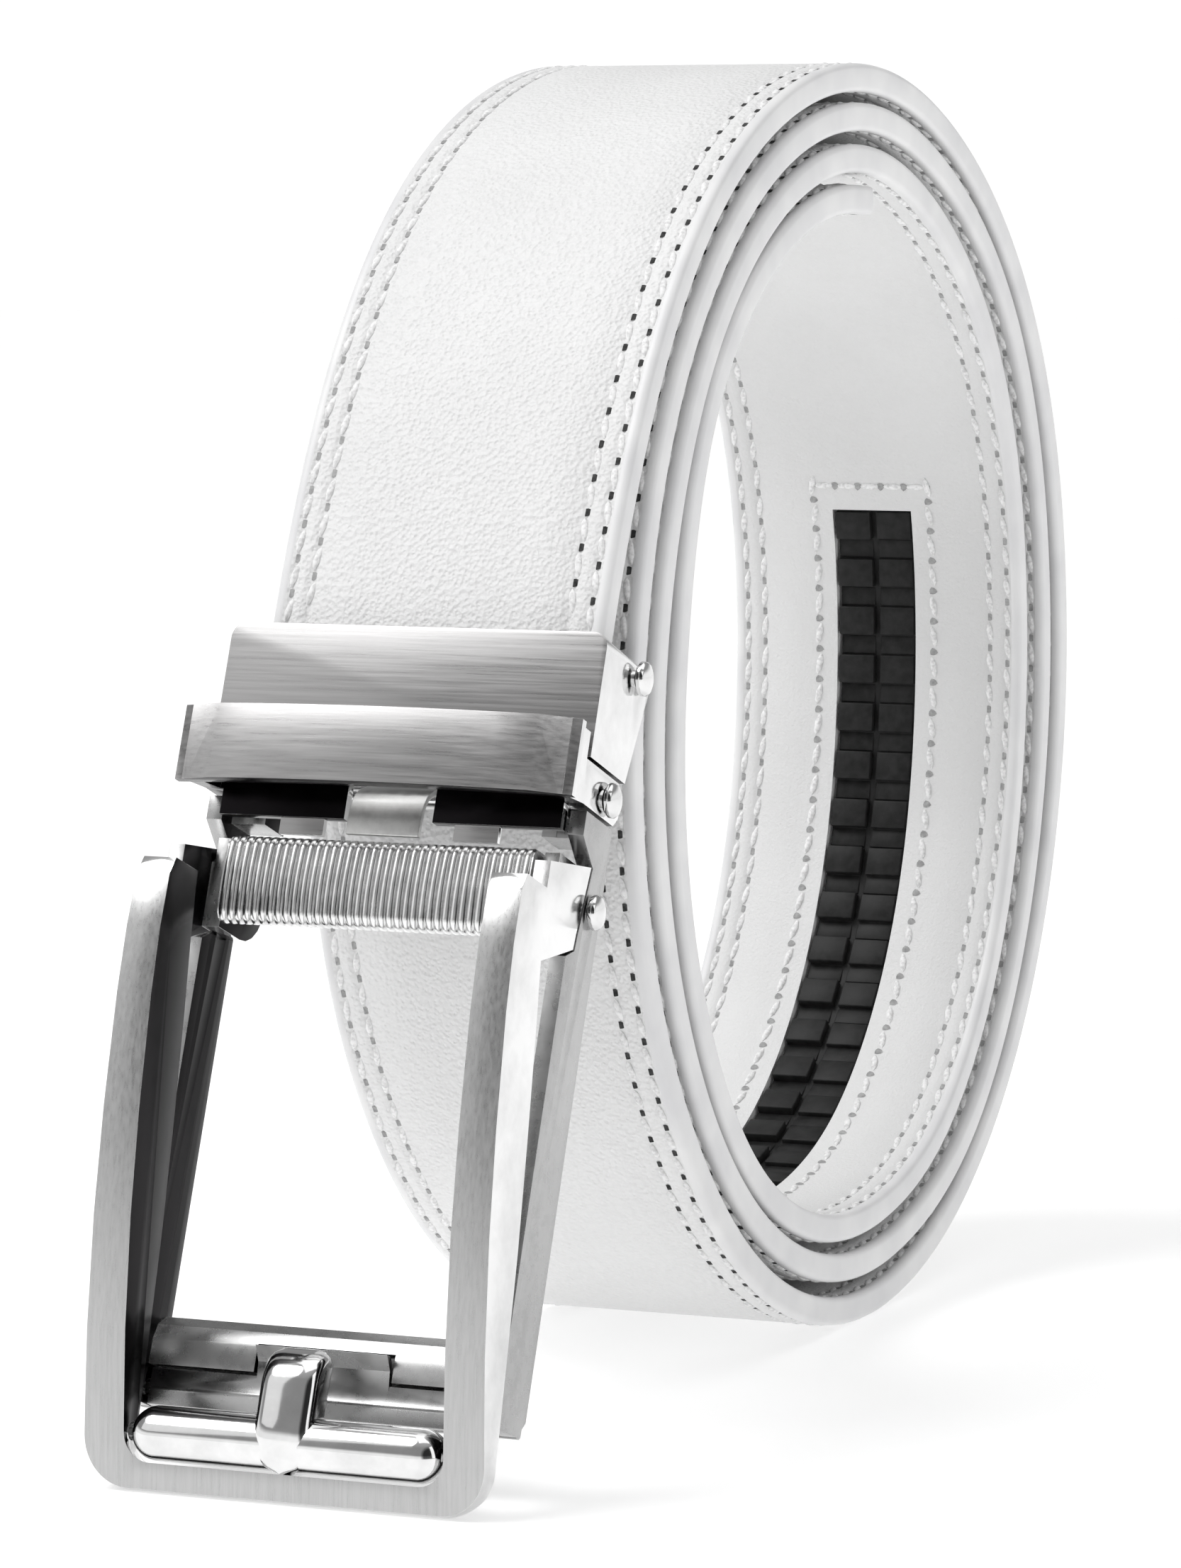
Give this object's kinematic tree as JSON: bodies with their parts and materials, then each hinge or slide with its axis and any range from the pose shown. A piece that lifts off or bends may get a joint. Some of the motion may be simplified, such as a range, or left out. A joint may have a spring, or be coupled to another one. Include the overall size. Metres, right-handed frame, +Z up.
{
  "type": "ratchet belt",
  "caption": "White leather ratchet belt standing as a coil of three and a quarter turns, its double-frame metal buckle leaning in front.",
  "frame": {"origin": "on the floor, under the middle of the belt's bounding box", "axes": "+X across the strap, to the right as seen from the buckle's front; +Y from the buckle to the back of the coil; +Z up"},
  "size_m": [0.042, 0.1778, 0.1342],
  "materials": {
    "leather": "fine-grained white leather, semi-matt",
    "nylon": "black moulded",
    "brushed": "brushed nickel",
    "polished": "polished nickel"
  },
  "bodies": {
    "belt": {"strap": "leather", "ratchet_track": "nylon", "clamp_case": "brushed", "clamp_jaw": "brushed", "clamp_pin": "polished", "keeper_loop": "brushed", "keeper_spring": "polished", "hinge_pin": "polished", "back_frame": "brushed", "front_frame": "brushed", "ribbed_bar": "brushed", "frame_pin": "polished", "prong_bar": "polished"},
    "pawl": {"pawl": "polished"}
  },
  "joints": [
    {"name": "pawl_lever", "type": "hinge", "parent": "belt", "child": "pawl", "pos_m": [0, -0.07903, 0.00793], "axis": [-1, 0, 0], "range_deg": [0, 7]}
  ]
}
